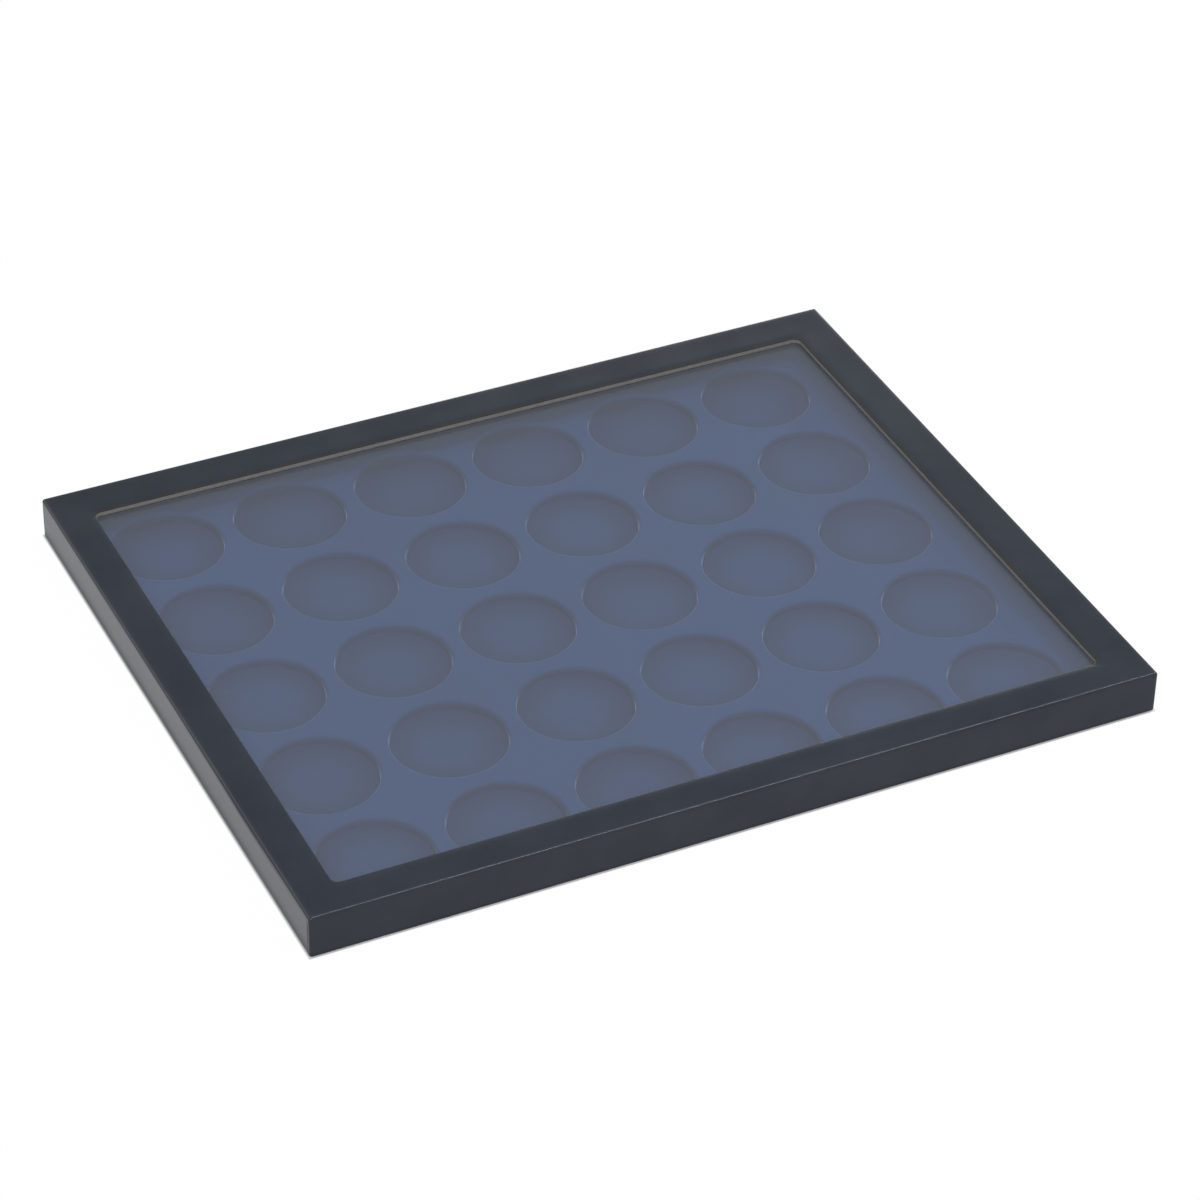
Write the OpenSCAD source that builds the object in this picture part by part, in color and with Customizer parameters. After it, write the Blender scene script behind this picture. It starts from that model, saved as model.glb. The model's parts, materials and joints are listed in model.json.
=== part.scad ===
// Coin display case: a shallow box of wrapped greyboard. A lift-off lid with a clear window
// goes right over the base, and a formed tray of round wells lies loose in the base.
// Millimetres. +X runs along the long side, +Z is up, and the origin is under the middle
// of the closed case, on the surface that it stands on.

/* [Case] */
// Length of the closed case, along X
case_l = 305; // [200:1:420]
// Width of the closed case, along Y
case_w = 246.5; // [160:0.5:340]
// Height of the closed case
case_h = 15.8; // [13:0.1:30]
// Radius of the wrapped edges and upright corners
edge_r = 1; // [0.6:0.1:1.4]

/* [Board and paper] */
// Thickness of the greyboard
board_t = 1.5; // [1.2:0.1:3]
// Thickness of the wrapping paper
paper_t = 0.25; // [0.1:0.05:0.4]
// Width of the cut between two walls at a folded corner
seam_w = 0.2; // [0.1:0.05:0.4]
// Thickness of the tape over a folded corner
stay_t = 0.15; // [0.05:0.05:0.3]
// Width of the corner tape on each wall
stay_w = 12; // [6:1:30]
// How far the corner tape stops short of a wall's ends
stay_inset = 0.8; // [0.4:0.1:3]

/* [Lid] */
// Width of the lid's frame around the window
frame_w = 14.4; // [11:0.1:40]
// How far the window is cut off the middle, along X
window_off_x = -1; // [-2:0.1:2]
// How far the window is cut off the middle, along Y
window_off_y = -1.5; // [-2:0.1:2]
// Radius of the window's corners
window_r = 2.8; // [1:0.1:12]
// How far the lid's walls stop above the table
skirt_gap = 0.4; // [0:0.1:3]
// Clearance between the lid's walls and the base, each side
lid_gap = 0.5; // [0.3:0.1:1.5]
// How far the wrap is turned up inside the lid's walls
lid_turn_in = 8; // [3:0.5:10]

/* [Window] */
// Thickness of the clear pane
pane_t = 0.4; // [0.2:0.1:1.2]
// Clearance between the pane's edge and the base's walls
pane_gap = 0.7; // [0.4:0.1:3]
// Thickness of the tape that holds the pane
tape_t = 0.15; // [0.05:0.05:0.5]
// Width of that tape
tape_w = 6; // [3:0.5:8]
// How far the tape lies inside the pane's edge
tape_inset = 1; // [0.5:0.1:2]
// How far the lid's lining stops outside the window's edge
lining_inset = 1; // [0.5:0.1:4]

/* [Base] */
// How far the wrap is turned under the base's floor
base_turn_under = 15; // [6:1:40]
// How far the sheet on the underside stops short of the base's edge
sole_inset = 1.5; // [0.5:0.1:5]
// Clearance between the floor lining and the board's walls, each side
lining_gap = 0.4; // [0.2:0.1:2]
// Clearance between the turned-in wrap and the floor lining
hem_gap = 0.1; // [0.05:0.05:1]

/* [Tray] */
// Thickness of the flocked sheet
sheet_t = 0.5; // [0.3:0.05:1]
// Clearance between the tray and the base's walls, each side
tray_gap = 0.5; // [0.3:0.1:2]
// Radius of the tray's corners
tray_r = 4; // [2:0.5:12]
// Diameter of the coin that a well holds
coin_d = 38.1; // [18:0.1:42]
// Clearance around the coin, on the diameter
coin_gap = 0.3; // [0.1:0.1:2]
// Depth of a well
well_depth = 3.2; // [2.4:0.1:5]
// Radius of a well's rim
rim_r = 1; // [0.8:0.1:1.2]
// Radius between a well's wall and its floor
toe_r = 0.6; // [0.3:0.1:0.9]
// Draft of a well's wall, from upright
draft = 5; // [2:0.5:12]
// Distance between wells along X
pitch_x = 46; // [45.5:0.1:70]
// Distance between wells along Y
pitch_y = 46.4; // [45.5:0.1:70]
// How far the wells are formed off the tray's middle, along X
wells_off_x = -3; // [-4:0.1:4]
// How far the wells are formed off the tray's middle, along Y
wells_off_y = -0.8; // [-4:0.1:4]
// Least flat land between a well and the tray's edge
least_land = 2; // [1:0.5:10]

/* [Hidden] */
$fn = 64;
past = 1; // how far a cut runs on past the face that it opens

// Lid, from outside to inside
lid_board_l = case_l - 2 * paper_t;
lid_board_w = case_w - 2 * paper_t;
lid_board_in_l = lid_board_l - 2 * board_t;
lid_board_in_w = lid_board_w - 2 * board_t;
lid_in_l = lid_board_in_l - 2 * paper_t;
lid_in_w = lid_board_in_w - 2 * paper_t;
board_edge_r = edge_r - paper_t;
lid_board_z0 = skirt_gap + paper_t;
lid_board_z1 = case_h - paper_t;
lid_under_z = lid_board_z1 - board_t;
lid_mid_z = lid_under_z + board_t / 2;
lid_hem_z = skirt_gap + lid_turn_in;
window_l = case_l - 2 * frame_w;
window_w = case_w - 2 * frame_w;

// Base, from outside to inside, and from the table up
base_l = lid_in_l - 2 * lid_gap;
base_w = lid_in_w - 2 * lid_gap;
base_board_l = base_l - 2 * paper_t;
base_board_w = base_w - 2 * paper_t;
base_board_in_l = base_board_l - 2 * board_t;
base_board_in_w = base_board_w - 2 * board_t;
base_in_l = base_board_in_l - 2 * paper_t;
base_in_w = base_board_in_w - 2 * paper_t;
base_board_z0 = 2 * paper_t;
base_board_z1 = lid_under_z - paper_t;
floor_z = base_board_z0 + board_t;
lining_z = floor_z + paper_t;

// Window pane, hung under the lid's board inside the base's walls
pane_l = base_in_l - 2 * pane_gap;
pane_w = base_in_w - 2 * pane_gap;
pane_z1 = lid_under_z - tape_t;
pane_z0 = pane_z1 - pane_t;

// Tray and its wells
tray_l = base_in_l - 2 * tray_gap;
tray_w = base_in_w - 2 * tray_gap;
well_floor_r = (coin_d + coin_gap) / 2;
well_z0 = lining_z + sheet_t;
tray_z = well_z0 + well_depth;
wall_run = (well_depth - (rim_r + toe_r) * (1 - sin(draft))) / cos(draft);
well_mouth_r = well_floor_r + (rim_r + toe_r) * cos(draft) + wall_run * sin(draft);
cup_r = well_mouth_r + rim_r / 2;
columns = floor((tray_l - 2 * (cup_r + least_land + abs(wells_off_x))) / pitch_x) + 1;
rows = floor((tray_w - 2 * (cup_r + least_land + abs(wells_off_y))) / pitch_y) + 1;

// ---- Shapes that more than one piece uses

// Upright block centred on the Z axis, from z0 to z1
module block(l, w, z0, z1) {
    translate([-l / 2, -w / 2, z0]) cube([l, w, z1 - z0]);
}

// The same block with round upright corners
module rounded_block(l, w, r, z0, z1) {
    translate([0, 0, z0]) linear_extrude(z1 - z0) {
        square([l - 2 * r, w], center = true);
        square([l, w - 2 * r], center = true);
        for (x = [-1, 1], y = [-1, 1])
            translate([x * (l / 2 - r), y * (w / 2 - r)]) circle(r);
    }
}

// The same again with its top edges rolled over to the same radius
module soft_block(l, w, r, z0, z1) {
    rounded_block(l, w, r, z0, z1 - r);
    block(l - 2 * r, w - 2 * r, z1 - r, z1);
    for (side = [-1, 1]) {
        translate([0, side * (w / 2 - r), z1 - r])
            rotate([0, 90, 0]) cylinder(r = r, h = l - 2 * r, center = true);
        translate([side * (l / 2 - r), 0, z1 - r])
            rotate([90, 0, 0]) cylinder(r = r, h = w - 2 * r, center = true);
        for (end = [-1, 1])
            translate([side * (l / 2 - r), end * (w / 2 - r), z1 - r]) sphere(r);
    }
}

// The four cuts between the walls of a folded board, along the corners' diagonals
module corner_seams(l, w, z0, z1) {
    reach = 3 * board_t;
    for (x = [-1, 1], y = [-1, 1])
        translate([x * (l / 2 - board_t), y * (w / 2 - board_t), z0])
            rotate(45 * x * y) translate([-reach, -seam_w / 2, 0])
                cube([2 * reach, seam_w, z1 - z0]);
}

// Paper tape round one upright corner of a board, pressed flush into its face
module corner_stay(l, w, x, y, z0, z1) {
    intersection() {
        difference() {
            rounded_block(l, w, board_edge_r, z0, z1);
            rounded_block(l - 2 * stay_t, w - 2 * stay_t, board_edge_r - stay_t,
                z0 - past, z1 + past);
        }
        translate([x * (l / 2 - stay_w / 2), y * (w / 2 - stay_w / 2), (z0 + z1) / 2])
            cube([stay_w, stay_w, z1 - z0 + 2 * past], center = true);
    }
}

// ---- Lid

module at_window() {
    translate([window_off_x, window_off_y, 0]) children();
}

module window_hole(z0, z1) {
    at_window() rounded_block(window_l, window_w, window_r, z0, z1);
}

// Board blank of the lid once folded: a top with four walls
module folded_lid() {
    difference() {
        soft_block(lid_board_l, lid_board_w, board_edge_r, lid_board_z0, lid_board_z1);
        block(lid_board_in_l, lid_board_in_w, lid_board_z0 - past, lid_under_z);
    }
}

module lid_stay(x, y) {
    corner_stay(lid_board_l, lid_board_w, x, y,
        lid_board_z0 + stay_inset, lid_board_z1 - edge_r - stay_inset);
}

module lid_board() {
    color("tan") difference() {
        folded_lid();
        window_hole(lid_under_z - past, lid_board_z1 + past);
        corner_seams(lid_board_l, lid_board_w, lid_board_z0 - past, lid_under_z);
        for (x = [-1, 1], y = [-1, 1]) lid_stay(x, y);
    }
}

module lid_corner_stay(x, y) {
    color("burlywood") lid_stay(x, y);
}

// Black paper over the lid's top and walls, turned up inside them
module lid_wrap() {
    color([0.13, 0.14, 0.16]) difference() {
        soft_block(case_l, case_w, edge_r, skirt_gap, case_h);
        folded_lid();
        block(lid_board_in_l, lid_board_in_w, lid_hem_z, lid_mid_z);
        block(lid_in_l, lid_in_w, skirt_gap - past, lid_hem_z + paper_t);
        window_hole(lid_mid_z, case_h + past);
    }
}

module window_pane() {
    color([0.8, 0.86, 0.9, 0.3]) block(pane_l, pane_w, pane_z0, pane_z1);
}

// One strip of tape between the pane and the lid's board
module pane_tape(along_x, side) {
    run = (along_x ? pane_l : pane_w) - 2 * tape_inset - (along_x ? 0 : 2 * tape_w);
    off = (along_x ? pane_w : pane_l) / 2 - tape_inset - tape_w / 2;
    color("ivory") translate(along_x ? [0, side * off, 0] : [side * off, 0, 0])
        block(along_x ? run : tape_w, along_x ? tape_w : run, pane_z1, lid_under_z);
}

// Paper frame over the pane's edge, inside the lid
module lid_lining() {
    color([0.16, 0.17, 0.19]) difference() {
        block(pane_l, pane_w, pane_z0 - paper_t, pane_z0);
        at_window() block(window_l + 2 * lining_inset, window_w + 2 * lining_inset,
            pane_z0 - paper_t - past, pane_z0 + past);
    }
}

// ---- Tray

// Half section of a well, swelled by the given skin: 0 is the hollow, and sheet_t the
// outside of the sheet around it. The rim and toe arcs keep their centres and are joined
// by the drafted wall, which is tangent to both.
module well_section(skin) {
    rim_c = [well_mouth_r, tray_z - rim_r];
    toe_c = [well_floor_r, well_z0 + toe_r];
    rim_p = rim_c + (rim_r - skin) * [-cos(draft), sin(draft)];
    toe_p = toe_c + (toe_r + skin) * [cos(draft), -sin(draft)];
    top = tray_z - skin;
    polygon([[0, well_z0 - skin], [toe_c[0], well_z0 - skin], toe_c, toe_p, rim_p, [0, rim_p[1]]]);
    intersection() {
        translate(toe_c) circle(toe_r + skin);
        polygon([toe_c - [toe_r, 0], toe_c - [toe_r, toe_r + skin],
            toe_c + [toe_r + skin, -toe_r - skin], toe_p, toe_c]);
    }
    difference() {
        polygon([[0, rim_p[1]], rim_p, rim_c, [rim_c[0], top], [0, top]]);
        translate(rim_c) circle(rim_r - skin);
    }
}

// One formed well with the ring of flat sheet around its rim
module well_cup() {
    rotate_extrude() difference() {
        union() {
            well_section(sheet_t);
            translate([0, tray_z - sheet_t]) square([cup_r, sheet_t]);
        }
        well_section(0);
        translate([0, tray_z - rim_r / 2]) square([well_floor_r, rim_r]);
    }
}

module at_wells() {
    for (i = [0 : columns - 1], j = [0 : rows - 1])
        translate([wells_off_x + (i - (columns - 1) / 2) * pitch_x,
                wells_off_y + (j - (rows - 1) / 2) * pitch_y, 0])
            children();
}

// Flocked sheet formed with round wells, and turned down at its edge
module coin_tray() {
    color([0.3, 0.38, 0.58]) {
        difference() {
            rounded_block(tray_l, tray_w, tray_r, lining_z, tray_z);
            rounded_block(tray_l - 2 * sheet_t, tray_w - 2 * sheet_t, tray_r - sheet_t,
                lining_z - past, tray_z - sheet_t);
            at_wells() translate([0, 0, lining_z]) cylinder(r = cup_r, h = tray_z);
        }
        at_wells() well_cup();
    }
}

// ---- Base

// Board blank of the base once folded: a floor with four walls
module folded_base() {
    difference() {
        rounded_block(base_board_l, base_board_w, board_edge_r, base_board_z0, base_board_z1);
        block(base_board_in_l, base_board_in_w, floor_z, base_board_z1 + past);
    }
}

module base_stay(x, y) {
    corner_stay(base_board_l, base_board_w, x, y,
        floor_z + stay_inset, base_board_z1 - stay_inset);
}

module base_board() {
    color("tan") difference() {
        folded_base();
        corner_seams(base_board_l, base_board_w, floor_z, base_board_z1 + past);
        for (x = [-1, 1], y = [-1, 1]) base_stay(x, y);
    }
}

// Black paper over the base's walls, turned in over their tops and under the floor
module base_wrap() {
    color([0.13, 0.14, 0.16]) difference() {
        rounded_block(base_l, base_w, edge_r, paper_t, lid_under_z);
        folded_base();
        block(base_board_in_l, base_board_in_w, floor_z - paper_t, lining_z + hem_gap);
        block(base_in_l, base_in_w, lining_z, lid_under_z + past);
        block(base_l - 2 * base_turn_under, base_w - 2 * base_turn_under,
            paper_t - past, base_board_z0 + paper_t);
    }
}

module base_lining() {
    color([0.2, 0.2, 0.22])
        block(base_board_in_l - 2 * lining_gap, base_board_in_w - 2 * lining_gap,
            floor_z, lining_z);
}

module base_bottom_sheet() {
    color([0.16, 0.17, 0.19])
        block(base_l - 2 * sole_inset, base_w - 2 * sole_inset, 0, paper_t);
}

module base_corner_stay(x, y) {
    color("burlywood") base_stay(x, y);
}

lid_board();
lid_wrap();
window_pane();
lid_lining();
lid_corner_stay(-1, -1);  // lid_corner_stay_front_left
lid_corner_stay(1, -1);  // lid_corner_stay_front_right
lid_corner_stay(-1, 1);  // lid_corner_stay_back_left
lid_corner_stay(1, 1);  // lid_corner_stay_back_right
pane_tape(true, -1);  // pane_tape_front
pane_tape(true, 1);  // pane_tape_back
pane_tape(false, -1);  // pane_tape_left
pane_tape(false, 1);  // pane_tape_right
coin_tray();
base_board();
base_wrap();
base_lining();
base_bottom_sheet();
base_corner_stay(-1, -1);  // base_corner_stay_front_left
base_corner_stay(1, -1);  // base_corner_stay_front_right
base_corner_stay(-1, 1);  // base_corner_stay_back_left
base_corner_stay(1, 1);  // base_corner_stay_back_right
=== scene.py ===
import json
import math

import bmesh
import bpy
import numpy as np
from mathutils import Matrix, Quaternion, Vector


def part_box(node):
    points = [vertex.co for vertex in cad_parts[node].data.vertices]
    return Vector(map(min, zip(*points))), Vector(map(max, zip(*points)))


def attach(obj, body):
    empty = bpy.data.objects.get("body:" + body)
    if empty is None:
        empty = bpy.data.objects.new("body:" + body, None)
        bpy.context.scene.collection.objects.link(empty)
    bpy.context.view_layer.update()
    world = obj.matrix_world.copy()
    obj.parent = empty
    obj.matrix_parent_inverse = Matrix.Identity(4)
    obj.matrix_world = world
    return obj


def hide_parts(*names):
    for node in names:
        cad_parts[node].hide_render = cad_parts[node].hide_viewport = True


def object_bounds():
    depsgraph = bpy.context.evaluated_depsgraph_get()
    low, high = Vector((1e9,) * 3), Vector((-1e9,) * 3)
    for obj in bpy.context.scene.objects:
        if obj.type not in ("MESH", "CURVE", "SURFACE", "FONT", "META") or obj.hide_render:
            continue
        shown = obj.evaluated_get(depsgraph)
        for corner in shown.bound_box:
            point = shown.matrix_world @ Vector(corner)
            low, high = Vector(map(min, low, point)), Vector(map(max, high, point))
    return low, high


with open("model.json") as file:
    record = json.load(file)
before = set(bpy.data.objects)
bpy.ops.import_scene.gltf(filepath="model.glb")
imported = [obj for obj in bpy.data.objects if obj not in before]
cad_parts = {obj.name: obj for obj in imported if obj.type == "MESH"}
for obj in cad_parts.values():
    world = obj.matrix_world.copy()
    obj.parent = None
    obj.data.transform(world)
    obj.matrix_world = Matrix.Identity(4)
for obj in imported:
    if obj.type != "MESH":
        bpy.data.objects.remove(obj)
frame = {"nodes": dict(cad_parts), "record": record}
cad_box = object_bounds()
MM = 0.001

# ---- Camera
# A long lens on a tripod at the case's front left, looking down at its middle.
EYE = Vector((-0.513455, -1.061667, 0.881334))
AIM = Vector((0.000139, -0.010330, 0.0158))
LENS = 128.656
SENSOR = 36
ROLL = math.radians(1.1406)

camera = bpy.data.objects.new("camera", bpy.data.cameras.new("camera"))
bpy.context.scene.collection.objects.link(camera)
camera.data.lens = LENS
camera.data.sensor_width = SENSOR
camera.location = EYE
upright = (AIM - EYE).to_track_quat("-Z", "Y")
camera.rotation_mode = "QUATERNION"
camera.rotation_quaternion = upright @ Quaternion((0, 0, 1), ROLL)
bpy.context.scene.camera = camera
bpy.context.scene.view_settings.view_transform = "Standard"


# ---- Studio
# A white table in an evenly lit, pale room. A large soft box fills from the front left, low ones
# at the right and the back give the wells their shade, and a slim strip marks the front fold.
class Wire:
    """An output of a node. Arithmetic on it adds Math nodes, and numbers may stand on either side."""

    def __init__(self, graph, socket):
        self.graph = graph
        self.socket = socket

    def maths(self, operation, *values):
        return self.graph.add("ShaderNodeMath", {"operation": operation}, dict(enumerate(values)))

    def __add__(self, other):
        return self.maths("ADD", self, other)

    def __sub__(self, other):
        return self.maths("SUBTRACT", self, other)

    def __rsub__(self, other):
        return self.maths("SUBTRACT", other, self)

    def __mul__(self, other):
        return self.maths("MULTIPLY", self, other)

    def __truediv__(self, other):
        return self.maths("DIVIDE", self, other)

    def __pow__(self, other):
        return self.maths("POWER", self, other)

    def most(self, other):
        return self.maths("MAXIMUM", self, other)

    def size(self):
        return self.maths("ABSOLUTE", self)

    def rise(self, low, high):
        """0 below low, 1 above high, and a smooth step between them."""
        sockets = {"Value": self, "From Min": low, "From Max": high}
        return self.graph.add("ShaderNodeMapRange", {"interpolation_type": "SMOOTHSTEP"}, sockets)

    __radd__ = __add__
    __rmul__ = __mul__


class Graph:
    """The nodes of a material or of the world, built up from nothing."""

    def __init__(self, owner):
        owner.use_nodes = True
        self.nodes = owner.node_tree.nodes
        self.links = owner.node_tree.links
        self.nodes.clear()

    def add(self, kind, settings=None, sockets=None, out=0):
        """A node of this kind, its settings made first and then its sockets set or linked."""
        node = self.nodes.new(kind)
        for name, value in (settings or {}).items():
            setattr(node, name, value)
        for name, value in (sockets or {}).items():
            if isinstance(value, Wire):
                self.links.new(value.socket, node.inputs[name])
            else:
                node.inputs[name].default_value = value
        return Wire(self, node.outputs[out])

    def place(self):
        """Object coordinates, in metres."""
        return self.add("ShaderNodeTexCoord", out="Object")

    def parts(self, vector):
        """The X, Y and Z of a vector."""
        first = self.add("ShaderNodeSeparateXYZ", None, {"Vector": vector})
        outputs = first.socket.node.outputs
        return [Wire(self, outputs[name]) for name in "XYZ"]

    def noise(self, vector, scale, detail=2.0, roughness=0.5):
        sockets = {"Vector": vector, "Scale": scale, "Detail": detail, "Roughness": roughness}
        return self.add("ShaderNodeTexNoise", None, sockets)

    def blend(self, share, low, high):
        """A colour between low and high."""
        return self.add("ShaderNodeMix", {"data_type": "RGBA"}, {0: share, 6: low, 7: high}, out=2)

    def bump(self, height, strength, depth):
        sockets = {"Height": height, "Strength": strength, "Distance": depth}
        return self.add("ShaderNodeBump", None, sockets)

    def show(self, shader):
        """Sends a shader to the output of a material."""
        self.add_output("ShaderNodeOutputMaterial", shader)

    def add_output(self, kind, shader):
        node = self.nodes.new(kind)
        self.links.new(shader.socket, node.inputs["Surface"])


TABLE_HALF = 3.0
TABLE_WHITE = (0.68, 0.68, 0.68, 1)
TABLE_SHOWN = 0.985
SHADOW_START = 0.2 * MM
SHADOW_EDGE = 0.7 * MM
SHADOW_MIRRORED = 2.4 * MM

table_mesh = bpy.data.meshes.new("table")
table_corners = [(x * TABLE_HALF, y * TABLE_HALF, 0) for x, y in ((-1, -1), (1, -1), (1, 1), (-1, 1))]
table_mesh.from_pydata(table_corners, [], [(0, 1, 2, 3)])
table = bpy.data.objects.new("table", table_mesh)
bpy.context.scene.collection.objects.link(table)

# The table shows white in pictures and reflections, but keeps the shadow close round the case,
# which the case's walls mirror in a wider strip.
table_finish = bpy.data.materials.new("white table")
g = Graph(table_finish)
across, along, _ = g.parts(g.place())
outside = (across.size() - cad_box[1].x).most(along.size() - cad_box[1].y)
seen = g.add("ShaderNodeLightPath", out="Is Camera Ray")
paths = seen.socket.node.outputs
seen = seen.most(Wire(g, paths["Is Transmission Ray"])) * outside.rise(SHADOW_START, SHADOW_EDGE)
mirrored = Wire(g, paths["Is Glossy Ray"]) * outside.rise(SHADOW_START, SHADOW_MIRRORED)
lit = g.add("ShaderNodeBsdfDiffuse", None, {"Color": TABLE_WHITE})
bright = g.add("ShaderNodeEmission", None, {"Color": (1, 1, 1, 1), "Strength": 1.0})
share = seen.most(mirrored) * TABLE_SHOWN
g.show(g.add("ShaderNodeMixShader", None, {0: share, 1: lit, 2: bright}))
table_mesh.materials.append(table_finish)

ROOM = 0.42
ROOM_TINT = (0.98, 0.99, 1.02, 1)

world = bpy.data.worlds.new("room")
bpy.context.scene.world = world
g = Graph(world)
backdrop = g.add("ShaderNodeBackground", None, {"Color": (1, 1, 1, 1), "Strength": 1.0})
room = g.add("ShaderNodeBackground", None, {"Color": ROOM_TINT, "Strength": ROOM})
seen = g.add("ShaderNodeLightPath", out="Is Camera Ray")
sky = g.add("ShaderNodeMixShader", None, {0: seen, 1: room, 2: backdrop})
g.add_output("ShaderNodeOutputWorld", sky)


def soft_box(name, azimuth, elevation, distance, width, brightness):
    """A square light that faces the case, placed by degrees right of the back and above the
    table. Its power gives it the brightness wanted: pi times area times brightness."""
    a, e = math.radians(azimuth), math.radians(elevation)
    towards = Vector((math.sin(a) * math.cos(e), math.cos(a) * math.cos(e), math.sin(e)))
    light = bpy.data.lights.new(name, "AREA")
    light.size = width
    light.energy = math.pi * width ** 2 * brightness
    box = bpy.data.objects.new(name, light)
    box.location = towards * distance
    box.rotation_euler = towards.to_track_quat("Z", "Y").to_euler()
    bpy.context.scene.collection.objects.link(box)


soft_box("soft_box_front", 205, 44, 2.2, 0.8, 14.0)
soft_box("soft_box_right", 72, 27, 1.5, 0.8, 2.6)
soft_box("soft_box_back", -35, 27, 1.5, 0.8, 0.9)
soft_box("soft_box_low", 30, 12, 1.5, 0.6, 3.2)

# A slim strip light hangs level over the right, along the case, for the line on the front fold.
STRIP_SIZE = (0.72, 0.10)
STRIP_PLACE = (0.557, 0.0, 1.4)
STRIP_BRIGHTNESS = 30.0
strip = bpy.data.lights.new("strip_light", "AREA")
strip.shape = "RECTANGLE"
strip.size, strip.size_y = STRIP_SIZE
strip.energy = math.pi * STRIP_SIZE[0] * STRIP_SIZE[1] * STRIP_BRIGHTNESS
strip_light = bpy.data.objects.new("strip_light", strip)
strip_light.location = STRIP_PLACE
bpy.context.scene.collection.objects.link(strip_light)


# ---- Greyboard blanks
# Both boxes are folded from one grey-brown board each, 1.5 mm thick. It shows raw where the
# window is cut, as fine pressed layers, and on the inside of the lid.
def principled(graph, **values):
    """A Principled shader. Words in a value's name stand for the socket's own words."""
    sockets = {name.replace("_", " "): value for name, value in values.items()}
    return graph.add("ShaderNodeBsdfPrincipled", None, sockets)


def dress(material, *nodes):
    """Gives CAD nodes a finish."""
    for name in nodes:
        frame["nodes"][name].material_slots[0].material = material


BOARD_DARK = (0.140, 0.135, 0.127, 1)
BOARD_PALE = (0.250, 0.243, 0.232, 1)
BOARD_LAYERS = (900, 900, 6500)
BOARD_FLECKS = 1400
BOARD_SHADE_UNDER_PAPER = (0.055, 0.042, 0.030, 1)
SHADE_UNDER_PAPER_DEPTH = 0.1 * MM

greyboard = bpy.data.materials.new("raw greyboard")
g = Graph(greyboard)
place = g.place()
stretched = g.add("ShaderNodeMapping", None, {"Vector": place, "Scale": BOARD_LAYERS})
layers = g.noise(stretched, 1.0, 3.0, 0.6)
flecks = g.noise(place, BOARD_FLECKS, 4.0, 0.65)
tone = (layers * 0.6 + flecks * 0.4).rise(0.3, 0.72)
relief = g.bump(tone, 0.6, 0.00012)
board_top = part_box("lid_board")[1].z
# Painted shade: the cut is darker in its top tenth of a millimetre, just under the paper's edge.
shaded_under_paper = g.parts(place)[2].rise(board_top - SHADE_UNDER_PAPER_DEPTH, board_top)
colour = g.blend(shaded_under_paper, g.blend(tone, BOARD_DARK, BOARD_PALE), BOARD_SHADE_UNDER_PAPER)
g.show(principled(g, Base_Color=colour, Roughness=0.92, Normal=relief))
dress(greyboard, "lid_board", "base_board")


# ---- Corner stays
# Gummed brown paper tape, wetted and pressed round each folded corner, with faint ribs.
TAPE_DARK = (0.33, 0.22, 0.12, 1)
TAPE_PALE = (0.50, 0.36, 0.21, 1)
TAPE_RIBS = 414

corner_tape = bpy.data.materials.new("gummed kraft tape")
g = Graph(corner_tape)
place = g.place()
ribs = g.add("ShaderNodeTexWave", {"bands_direction": "Z"}, {"Vector": place, "Scale": TAPE_RIBS})
fibre = g.noise(place, 1800, 3.0)
tone = fibre * 0.8 + ribs * 0.2
g.show(principled(g, Base_Color=g.blend(tone, TAPE_DARK, TAPE_PALE), Roughness=0.6,
                  Normal=g.bump(tone, 0.4, 0.00004)))
corner_names = [f"{end}_{side}" for end in ("front", "back") for side in ("left", "right")]
dress(corner_tape, *[f"{box}_corner_stay_{corner}" for box in ("lid", "base") for corner in corner_names])


# ---- Base wrap
# Black paper glued over the base's walls, turned in over their tops, down inside them and
# under the floor. It has a fine leather grain and a low sheen.
PAPER = 0.25 * MM
ARC_STEPS = 9
SHARP_FROM = math.radians(40)


def carried_round(half, inset, radius, height, shares):
    """A profile carried round a rectangle with round corners, as an array [profile, path, xyz].
    Each profile point keeps its inset from the rectangle, one for both ways or one for each, its
    own corner radius and its height. The path runs anticlockwise, and on the back, left, front
    and right sides it has points at the given shares of the way between two corners' arcs."""
    inset, radius, height = (np.asarray(v, float) for v in (inset, radius, height))
    middle = np.asarray(half, float) - inset.reshape(len(height), -1) - radius[:, None]
    arcs = []
    for k, corner in enumerate(((1, 1), (-1, 1), (-1, -1), (1, -1))):
        turn = np.linspace(0, math.pi / 2, ARC_STEPS) + k * math.pi / 2
        swing = radius[:, None, None] * np.stack([np.cos(turn), np.sin(turn)], -1)
        arcs.append((middle * corner)[:, None] + swing)
    path = []
    for arc, following, share in zip(arcs, arcs[1:] + arcs[:1], shares):
        start, end = arc[:, -1:], following[:, :1]
        path += [arc, start + (end - start) * share[:, None]]
    plan = np.concatenate(path, 1)
    return np.concatenate([plan, np.broadcast_to(height[:, None, None], plan.shape[:2] + (1,))], -1)


def grid_faces(rows, columns, closed):
    """Faces between neighbours on a grid whose columns run round, and whose rows do if closed."""
    v, u = np.meshgrid(np.arange(rows if closed else rows - 1), np.arange(columns), indexing="ij")
    after_v, after_u = (v + 1) % rows, (u + 1) % columns
    faces = [v * columns + u, after_v * columns + u, after_v * columns + after_u, v * columns + after_u]
    return np.stack(faces, -1).reshape(-1, 4)


def shell(name, points):
    """A new object, closed over points [profile, path, xyz] that run round both ways. Edges that
    turn by more than SHARP_FROM are sharp."""
    faces = grid_faces(*points.shape[:2], closed=True)
    mesh = bpy.data.meshes.new(name)
    mesh.from_pydata(points.reshape(-1, 3).tolist(), [], faces.tolist())
    mesh.shade_smooth()
    mesh.set_sharp_from_angle(angle=SHARP_FROM)
    piece = bpy.data.objects.new(name, mesh)
    bpy.context.scene.collection.objects.link(piece)
    return piece


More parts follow.
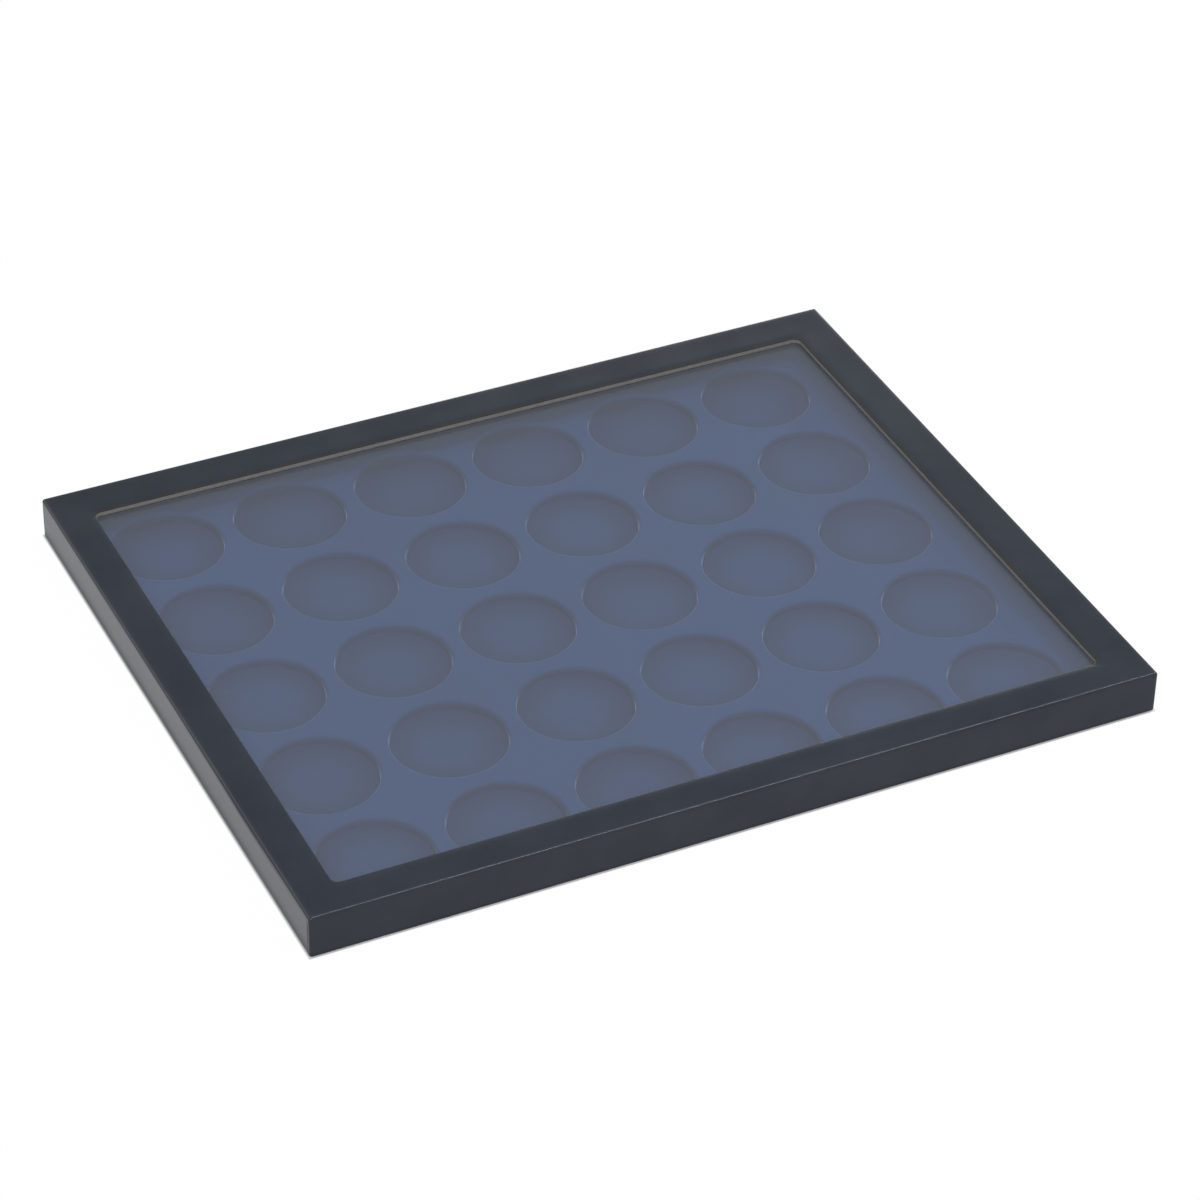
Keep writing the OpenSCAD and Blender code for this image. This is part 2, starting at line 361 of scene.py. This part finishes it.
def rounded(centre, radius, start, end, steps):
    """Points [inset, height] on an arc: its centre plus its radius times the cosine and the sine
    of an angle, in degrees from inwards (0) towards up (90)."""
    turn = np.radians(np.linspace(start, end, steps))
    return np.stack([centre[0] + radius * np.cos(turn), centre[1] + radius * np.sin(turn)], -1)


PAPER_DEEP = (0.0205, 0.0250, 0.0335, 1)
PAPER_WORN = (0.0285, 0.0340, 0.0435, 1)
PAPER_BROWNED = (0.036, 0.032, 0.025, 1)
PAPER_GLOSS = (0.88, 0.94, 1.0, 1)
PAPER_SHEEN = (0.75, 0.87, 1, 1)
FOLD_POLISH = 0.4


def covering_paper(name, browned=None, pressed=None):
    """Grained black paper. Two functions tell from X, Y and Z where its black turns brown and
    where it is pressed smooth."""
    paper = bpy.data.materials.new(name)
    g = Graph(paper)
    place = g.place()
    grain = g.noise(place, 2200, 2.0, 0.55)
    pits = g.add("ShaderNodeTexVoronoi", {"feature": "SMOOTH_F1"}, {"Vector": place, "Scale": 1500})
    cloud = g.noise(place, 45, 3.0)
    tone = (grain * 0.35 + cloud * 0.65).rise(0.25, 0.75)
    relief = g.bump(grain * 0.5 + pits * 0.5, 0.35, 0.00002)
    colour = g.blend(tone, PAPER_DEEP, PAPER_WORN)
    if browned:
        colour = g.blend(browned(*g.parts(place)) * tone.rise(-0.3, 0.9), colour, PAPER_BROWNED)
    polish = pressed(*g.parts(place)) * FOLD_POLISH if pressed else 0.0
    g.show(principled(g, Base_Color=colour, Roughness=cloud * 0.06 + 0.18, IOR=1.275,
                      Specular_Tint=PAPER_GLOSS, Sheen_Weight=0.03, Sheen_Roughness=0.35,
                      Sheen_Tint=PAPER_SHEEN, Coat_Weight=polish, Coat_Roughness=0.12,
                      Normal=relief))
    return paper


base_low, base_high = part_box("base_wrap")
TURN_IN = 15 * MM
WALL_TOP = 2.0 * MM
FOLD = 0.6 * MM
HEM = 2.35 * MM
CORNER_R = 1.0 * MM
LEAST_R = 0.05 * MM
profile = np.concatenate([
    [(WALL_TOP - PAPER, HEM), (WALL_TOP, HEM)],
    rounded((WALL_TOP - FOLD, base_high.z - FOLD), FOLD, 0, 90, 7),
    rounded((FOLD, base_high.z - FOLD), FOLD, 90, 180, 7),
    rounded((FOLD, base_low.z + FOLD), FOLD, 180, 270, 7),
    [(TURN_IN, base_low.z), (TURN_IN, base_low.z + PAPER), (PAPER, base_low.z + PAPER),
     (PAPER, base_high.z - PAPER), (WALL_TOP - PAPER, base_high.z - PAPER)],
])
corner_r = np.clip(CORNER_R - profile[:, 0], LEAST_R, None)
side_shares = np.linspace(0, 1, 14)[1:-1]
points = carried_round(base_high.xy, profile[:, :1], corner_r, profile[:, 1], [side_shares] * 4)
base_wrap = shell("base_paper", points)
base_wrap.data.materials.append(covering_paper("grained black paper"))
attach(base_wrap, "base")
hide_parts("base_wrap")


# ---- Linings and the sheet on the underside
# Smooth matt black paper on the base's floor, round the window inside the lid, and on the
# underside of the case.
LINING_DARK = (0.010, 0.011, 0.013, 1)
LINING_PALE = (0.020, 0.021, 0.024, 1)

lining_paper = bpy.data.materials.new("matt lining paper")
g = Graph(lining_paper)
place = g.place()
fibre = g.noise(place, 3000, 3.0)
cloud = g.noise(place, 60, 3.0)
tone = fibre * 0.5 + cloud * 0.5
colour = g.blend(tone, LINING_DARK, LINING_PALE)
g.show(principled(g, Base_Color=colour, Roughness=0.78, Normal=g.bump(fibre, 0.3, 0.00003)))
dress(lining_paper, "base_lining", "lid_lining", "base_bottom_sheet")


# ---- Coin tray
# A thin sheet formed over a mould with 30 round wells and then covered with short blue
# flock. It lies loose in the base. Its top and its wells keep the CAD tray's sizes.
WELLS = [o["box_m"] for o in frame["record"]["physics"]["openings"] if o["name"].startswith("well_")]
SHEET = 0.5 * MM
FLOOR_R = 19.2 * MM
RIM_R = 1.0 * MM
TOE_R = 0.6 * MM
DRAFT = math.radians(5)
SPOKES = 64
TRAY_CORNER = 4 * MM
TRAY_BEND = 1.0 * MM
SEWN_WITHIN = 2e-6
FAR_OFF = 1.0

tray_low, tray_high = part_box("coin_tray")
well_floor = tray_low.z + SHEET
well_depth = tray_high.z - well_floor
middles = np.array(WELLS).mean(1)[:, :2]
columns, rows = (np.unique(middles[:, k].round(5)) for k in (0, 1))
cell = np.array([columns[1] - columns[0], rows[1] - rows[0]]) / 2

# Section of a well, from its middle out: floor, toe arc, drafted wall and rim arc.
wall_run = (well_depth - (RIM_R + TOE_R) * (1 - math.sin(DRAFT))) / math.cos(DRAFT)
mouth_r = FLOOR_R + (RIM_R + TOE_R) * math.cos(DRAFT) + wall_run * math.sin(DRAFT)
section = np.concatenate([
    [(share * FLOOR_R, well_floor) for share in (0.3, 0.6, 0.9)],
    rounded((FLOOR_R, well_floor + TOE_R), TOE_R, -90, -math.degrees(DRAFT), 6),
    rounded((mouth_r, tray_high.z - RIM_R), RIM_R, 180 - math.degrees(DRAFT), 90, 8),
])

# One cell: rings round the well, then a ring half way out and one on the cell's square edge.
turn = np.arange(SPOKES) * 2 * math.pi / SPOKES
spoke = np.stack([np.cos(turn), np.sin(turn)], -1)
side = np.tan(np.linspace(-math.pi / 4, math.pi / 4, SPOKES // 4 + 1))[:-1]
ones = np.ones_like(side)
sides = ((ones, side), (-side, ones), (-ones, -side), (side, -ones))
square = np.roll(np.concatenate([np.stack(s, -1) for s in sides]), -(SPOKES // 8), 0) * cell
plan = np.concatenate([spoke * section[:, :1, None], [(spoke * mouth_r + square) / 2, square]])
level = np.append(section[:, 1], [tray_high.z] * 2)
rings = np.concatenate([plan, np.broadcast_to(level[:, None, None], plan.shape[:2] + (1,))], -1)
cell_points = np.concatenate([[[0, 0, well_floor]], rings.reshape(-1, 3)])
cell_faces = 1 + grid_faces(len(rings), SPOKES, closed=False)
around = np.arange(SPOKES)
hub_faces = np.stack([np.zeros(SPOKES, int), 1 + around, 1 + (around + 1) % SPOKES], -1)
from_middle = np.concatenate([[0], np.linalg.norm(plan, axis=-1).ravel()])

# The border runs from the outline of the cells out to the tray's edge, over a bend and down.
tray_half = np.array(tray_high.xy)
bend = rounded((TRAY_BEND, tray_high.z - TRAY_BEND), TRAY_BEND, 90, 180, 7)
bend = np.concatenate([bend, [(0, 4 * MM), (0, tray_low.z)]])
outline = tray_half - np.array([len(columns), len(rows)]) * cell
inset = np.concatenate([[outline], np.repeat(bend[:, :1], 2, 1)])
corner_r = np.append(0, TRAY_CORNER - bend[:, 0])
level = np.append(tray_high.z, bend[:, 1])
along_cell = (side + 1) / 2
shares = [((np.arange(n)[:, None] + along_cell) / n).ravel()[1:] for n in (len(columns), len(rows)) * 2]
border = carried_round(tray_half, inset, corner_r, level, shares)
border[0, :, :2] += middles.mean(0)

# All cells and the border are joined where they meet, and the sheet gets its thickness.
shift = np.pad(middles, ((0, 0), (0, 1)))[:, None]
points = np.concatenate([(cell_points + shift).reshape(-1, 3), border.reshape(-1, 3)])
first = (np.arange(len(middles)) * len(cell_points))[:, None, None]
faces = (cell_faces + first).reshape(-1, 4).tolist() + (hub_faces + first).reshape(-1, 3).tolist()
faces += (len(middles) * len(cell_points) + grid_faces(*border.shape[:2], closed=False)).tolist()
mesh = bpy.data.meshes.new("flocked_tray")
mesh.from_pydata(points.tolist(), [], faces)
radius = mesh.attributes.new("from_middle", "FLOAT", "POINT")
on_border = np.full(border.size // 3, FAR_OFF)
radius.data.foreach_set("value", np.append(np.tile(from_middle, len(middles)), on_border))
sewn = bmesh.new()
sewn.from_mesh(mesh)
bmesh.ops.remove_doubles(sewn, verts=sewn.verts, dist=SEWN_WITHIN)
sewn.to_mesh(mesh)
sewn.free()
mesh.shade_smooth()
tray = bpy.data.objects.new("flocked_tray", mesh)
bpy.context.scene.collection.objects.link(tray)
thickness = tray.modifiers.new("sheet", "SOLIDIFY")
thickness.thickness = SHEET
thickness.offset = -1

FLOCK_DEEP = (0.0020, 0.0100, 0.0400, 1)
FLOCK_FULL = (0.0110, 0.0460, 0.1500, 1)
FLOCK_SHEEN = (0.45, 0.62, 1, 1)
WELL_SHADE = 0.18
TOE_SHADE = 0.20

flock = bpy.data.materials.new("blue flock")
g = Graph(flock)
place = g.place()
depth = g.parts(place)[2]
radius = g.add("ShaderNodeAttribute", {"attribute_name": "from_middle"}, out="Fac")
tips = g.noise(place, 5200, 2.0, 0.7)
pile = g.noise(place, 900, 3.0)
cloud = g.noise(place, 22, 2.0)
up_wall = depth.rise(well_floor + 0.2 * MM, tray_high.z - 0.4 * MM)
in_well = 1 - up_wall
towards_toe = radius.rise(6 * MM, 18 * MM)
tone = (tips * 0.5 + pile * 0.25 + cloud * 0.25).rise(0.3, 0.7) * 0.3 + 0.55
# Painted shade: the flock is darker in the wells, and darker still towards their toes.
tone = tone - in_well * (towards_toe * TOE_SHADE + WELL_SHADE)
relief = g.bump(tips, 0.5, 0.00008)
g.show(principled(g, Base_Color=g.blend(tone, FLOCK_DEEP, FLOCK_FULL), Roughness=0.95,
                  Normal=relief, Specular_IOR_Level=0.15, Sheen_Weight=0.60, Sheen_Roughness=0.26,
                  Sheen_Tint=FLOCK_SHEEN))
tray.data.materials.append(flock)
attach(tray, "tray")
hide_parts("coin_tray")


# ---- Window pane
# Rigid low-glare sheet, taped under the lid's board. It mirrors the room faintly, more at a
# slant, is a little milky all over, and lets the rest of the light straight through.
CLEAR_IOR = 1.5
CLEAR_SHINE = 0.02
MIRRORED = 0.4
HAZE = 0.069
HAZE_COLOUR = (0.92, 0.96, 1, 1)

clear_sheet = bpy.data.materials.new("clear sheet")
g = Graph(clear_sheet)
relief = g.bump(g.noise(g.place(), 14, 1.0), 0.15, 0.0006)
mirrored = g.add("ShaderNodeFresnel", None, {"IOR": CLEAR_IOR})
outer_face = 1 - g.add("ShaderNodeNewGeometry", out="Backfacing")
through = g.add("ShaderNodeBsdfTransparent", None, {"Color": (1, 1, 1, 1)})
haze = g.add("ShaderNodeBsdfDiffuse", None, {"Color": HAZE_COLOUR})
shine = g.add("ShaderNodeBsdfGlossy", None,
              {"Color": (1, 1, 1, 1), "Roughness": CLEAR_SHINE, "Normal": relief})
body = g.add("ShaderNodeMixShader", None, {0: outer_face * HAZE, 1: through, 2: haze})

# One face mirrors a share F of the light, and the sheet's two faces together 2 F / (1 + F).
mirror_share = MIRRORED * 2 * mirrored / (1 + mirrored) * outer_face
g.show(g.add("ShaderNodeMixShader", None, {0: mirror_share, 1: body, 2: shine}))
dress(clear_sheet, "window_pane")


# ---- Pane tapes
# Four strips of double-sided tape between the pane and the lid's board, milky white.
MILK_DULL = (0.62, 0.60, 0.52, 1)
MILK_PALE = (0.80, 0.78, 0.70, 1)

pane_tape = bpy.data.materials.new("double-sided tape")
g = Graph(pane_tape)
milk = g.noise(g.place(), 700, 3.0)
colour = g.blend(milk, MILK_DULL, MILK_PALE)
g.show(principled(g, Base_Color=colour, Roughness=0.5, Normal=g.bump(milk, 0.2, 0.00003)))
dress(pane_tape, *[f"pane_tape_{s}" for s in ("front", "back", "left", "right")])


# ---- Lid wrap
# One sheet of black paper over the lid's top and walls, turned up inside them. The folds are
# soft and polished, the left shoulder is pressed flatter towards the front, and each short
# wall's flap ends in a fine seam beside the corner.
FRAME_W = 14.4 * MM
WINDOW_OFF = np.array([-1.0, -1.5]) * MM
WINDOW_R = 2.8 * MM
EDGE_R = 1.0 * MM
BOARD_R = 0.8 * MM
WALL_IN = 2.0 * MM
HEM_TOP = 8.4 * MM
CUT_R = 0.12 * MM
FOOT_R = 0.12 * MM
SHOULDER_STEPS = 11
FLATTEST_AT = 0.80
FLAT_SPREAD = 0.17
WIDENING = 1.7
DEEPENING = 0.15
SEAM_DEPTH = 0.12 * MM
WAVE = 0.09 * MM
WAVE_FADE = 3 * MM
RIM_WIDTH = 1.2 * MM

lid_low, lid_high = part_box("lid_wrap")
cut = rounded((FRAME_W - CUT_R, lid_high.z - CUT_R), CUT_R, 0, 90, 4)
top_run = np.array([(i * MM, lid_high.z) for i in (11, 8, 5.5, 4, 3)])
shoulder_angle = np.linspace(math.pi / 2, 0, SHOULDER_STEPS)
shoulder = np.stack([EDGE_R * (1 - np.cos(shoulder_angle)),
                     lid_high.z - EDGE_R * (1 - np.sin(shoulder_angle))], -1)
wall_run = np.array([(0, z * MM) for z in (13, 11, 8, 5, 2.5)])
foot = np.concatenate([rounded((FOOT_R, lid_low.z + FOOT_R), FOOT_R, 180, 270, 4),
                       rounded((WALL_IN - FOOT_R, lid_low.z + FOOT_R), FOOT_R, 270, 360, 4)])
inner_line = np.array([
    (WALL_IN, HEM_TOP), (WALL_IN - PAPER, HEM_TOP), (WALL_IN - PAPER, lid_low.z + PAPER),
    (PAPER, lid_low.z + PAPER),
    *rounded((EDGE_R, lid_high.z - EDGE_R), EDGE_R - PAPER, 180, 90, 5), (FRAME_W, lid_high.z - PAPER),
])
profile = np.concatenate([cut, top_run, shoulder, wall_run, foot, inner_line])
outer_rows = np.arange(len(cut) + len(top_run) + len(shoulder) + len(wall_run))
shoulder_rows = np.arange(len(cut) + len(top_run), len(cut) + len(top_run) + len(shoulder))
inset, height = profile.T
on_top = np.clip((inset - EDGE_R) / (FRAME_W - EDGE_R), 0, 1) * (height > lid_high.z - 2 * PAPER)
corner_r = np.where(inset >= EDGE_R, LEAST_R + (WINDOW_R - LEAST_R) * on_top ** 3,
                    np.clip(EDGE_R - inset, LEAST_R, None))
near = np.array([0.0012, 0.0022, 0.0032, 0.006, 0.012, 0.025])
side_shares = np.concatenate([near, np.linspace(0.04, 0.96, 61), 1 - near[::-1]])
points = carried_round(lid_high.xy, inset[:, None], corner_r, height, [side_shares] * 4)
points[..., :2] += on_top[:, None, None] * WINDOW_OFF

# Which side each path point is on: 0 back, 1 left, 2 front, 3 right, and -1 in the corners.
side_no = np.concatenate([np.r_[np.full(ARC_STEPS, -1), np.full(len(side_shares), k)] for k in range(4)])
share = np.tile(np.r_[np.zeros(ARC_STEPS), side_shares], 4)
away = np.array([(0, 1), (-1, 0), (0, -1), (1, 0), (0, 0)])[side_no]

# The left shoulder: from the top it falls away over `wide` instead of the fold's own radius,
# but never into the board's own rounded edge. The flattening is a bell curve along the side.
left = side_no == 1
flattening = np.exp(-((share - FLATTEST_AT) / FLAT_SPREAD) ** 2) * np.sin(math.pi * share) ** 0.25 * left
wide = EDGE_R * (1 + WIDENING * flattening)
deep = EDGE_R * (1 + DEEPENING * flattening)
inwards = wide * (1 - np.cos(shoulder_angle))[:, None]
past_edge = np.clip(EDGE_R - inwards, 0, None)
edge_line = lid_high.z - EDGE_R + np.sqrt(np.clip(BOARD_R ** 2 - past_edge ** 2, 0, None))
fallen = np.maximum(lid_high.z - deep * (1 - np.sin(shoulder_angle))[:, None], edge_line)
fallen = np.where(left, fallen, points[shoulder_rows, :, 2])
points[shoulder_rows, :, :2] -= ((inwards - inset[shoulder_rows, None]) * left)[..., None] * away
points[shoulder_rows, :, 2] = fallen

# Walls and top are never quite flat: they sink in by up to WAVE, and not at all at the corners.
free = np.sin(math.pi * share) ** 0.5 * (side_no >= 0)
phase = np.array([0.4, 1.9, 3.1, 4.6, 0])[side_no]
ripple = (0.5 + 0.3 * np.sin(2 * math.pi * 1.6 * share + phase)
          + 0.2 * np.sin(2 * math.pi * 3.7 * share + 2 * phase))
level = np.clip((lid_high.z - height[outer_rows]) / WAVE_FADE, 0, 1)[:, None]
points[outer_rows, :, :2] -= (WAVE * free * ripple * level)[..., None] * away
across_frame = np.clip(inset[outer_rows] / FRAME_W, 0, 1)[:, None]
sag = 0.5 * WAVE * free * ripple * np.sin(math.pi * across_frame)
points[outer_rows, :, 2] -= sag * (1 - level)

# The flap's seam, on the two short walls.
short = (side_no == 1) | (side_no == 3)
on_seam = short & (np.isclose(share, near[1]) | np.isclose(share, 1 - near[1]))
points[outer_rows, :, :2] -= (SEAM_DEPTH * on_seam * level)[..., None] * away

lid_wrap = shell("lid_paper", points)


# The lid's paper turns brown along the window's back and right edges only.
def window_rim(x, y, z):
    """1 on the paper's top at the window's back and right edges, and 0 from RIM_WIDTH outside."""
    side_x = ((x - WINDOW_OFF[0]).size() - window_half[0]).most(0)
    side_y = ((y - WINDOW_OFF[1]).size() - window_half[1]).most(0)
    outside = (side_x * side_x + side_y * side_y) ** 0.5 - WINDOW_R
    back_or_right = ((x - WINDOW_OFF[0]) / window_half[0]).most((y - WINDOW_OFF[1]) / window_half[1])
    on_top = z.rise(lid_high.z - 1 * MM, lid_high.z - 0.5 * MM)
    return (1 - outside.rise(0.4 * RIM_WIDTH, RIM_WIDTH)) * back_or_right.rise(0.97, 1) * on_top


def top_folds(x, y, z):
    """1 on the folds round the lid's top, and 0 from 2 mm away from them."""
    outwards = (x.size() - lid_high.x).most(y.size() - lid_high.y)
    return outwards.rise(-2 * MM, -1 * MM) * z.rise(lid_high.z - 0.7 * MM, lid_high.z - 0.3 * MM)


window_half = np.array(lid_high.xy) - FRAME_W - WINDOW_R
lid_finish = covering_paper("grained black paper of the lid", window_rim, top_folds)
lid_wrap.data.materials.append(lid_finish)
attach(lid_wrap, "lid")
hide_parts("lid_wrap")
